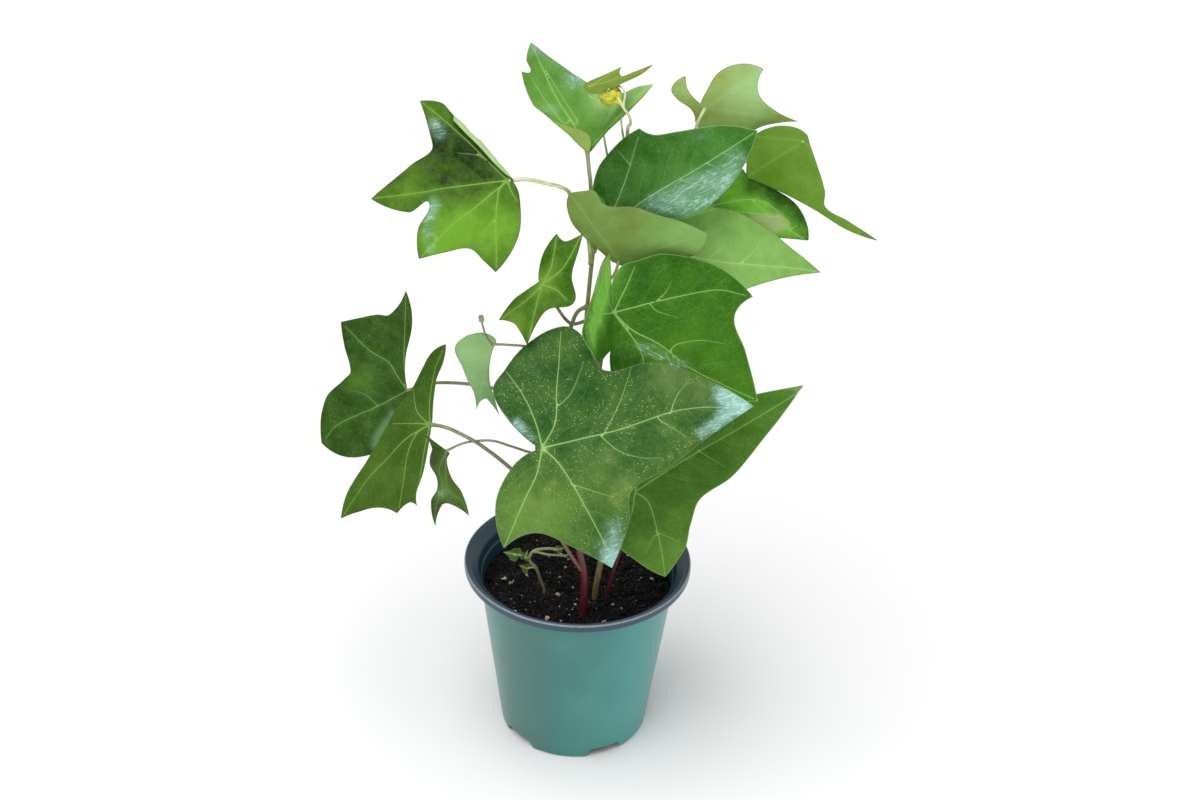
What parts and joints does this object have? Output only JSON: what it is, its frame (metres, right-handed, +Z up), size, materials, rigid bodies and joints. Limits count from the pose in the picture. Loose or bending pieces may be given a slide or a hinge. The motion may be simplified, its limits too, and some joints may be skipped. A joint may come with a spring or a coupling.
{
  "type": "potted ivy",
  "caption": "Young potted ivy: lobed green leaves on long thin petioles, rooted in soil in a tapered plastic nursery pot.",
  "frame": {"origin": "centre of the pot's underside, on the surface that the pot stands on", "axes": "+Z up along the pot's axis; +X to the right and -Y toward the viewer, seen from the side that the largest leaves face"},
  "size_m": [0.2432, 0.1342, 0.3162],
  "materials": {
    "pot": "satin",
    "soil": "matte",
    "stem_tall": "satin",
    "stem_right": "satin",
    "stem_thin": "satin",
    "sprout": "satin",
    "leaf_top": "satin",
    "leaf_young": "satin",
    "leaf_left_top": "satin",
    "leaf_pale": "satin",
    "leaf_dark": "gloss",
    "leaf_olive": "satin",
    "leaf_light": "satin",
    "leaf_back": "satin",
    "leaf_shaded": "satin",
    "leaf_centre": "satin",
    "leaf_front": "gloss",
    "leaf_low": "satin",
    "leaf_left_dark": "satin",
    "leaf_left_low": "satin",
    "leaf_small_pale": "satin",
    "leaf_small_middle": "satin",
    "leaf_small_low": "satin",
    "bud": "satin"
  },
  "bodies": {
    "root": {"pot": "pot", "soil": "soil", "stem_tall": "stem_tall", "stem_right": "stem_right", "stem_thin": "stem_thin", "sprout": "sprout", "leaf_top": "leaf_top", "leaf_young": "leaf_young", "leaf_left_top": "leaf_left_top", "leaf_pale": "leaf_pale", "leaf_dark": "leaf_dark", "leaf_olive": "leaf_olive", "leaf_light": "leaf_light", "leaf_back": "leaf_back", "leaf_shaded": "leaf_shaded", "leaf_centre": "leaf_centre", "leaf_front": "leaf_front", "leaf_low": "leaf_low", "leaf_left_dark": "leaf_left_dark", "leaf_left_low": "leaf_left_low", "leaf_small_pale": "leaf_small_pale", "leaf_small_middle": "leaf_small_middle", "leaf_small_low": "leaf_small_low", "bud": "bud"}
  },
  "joints": []
}
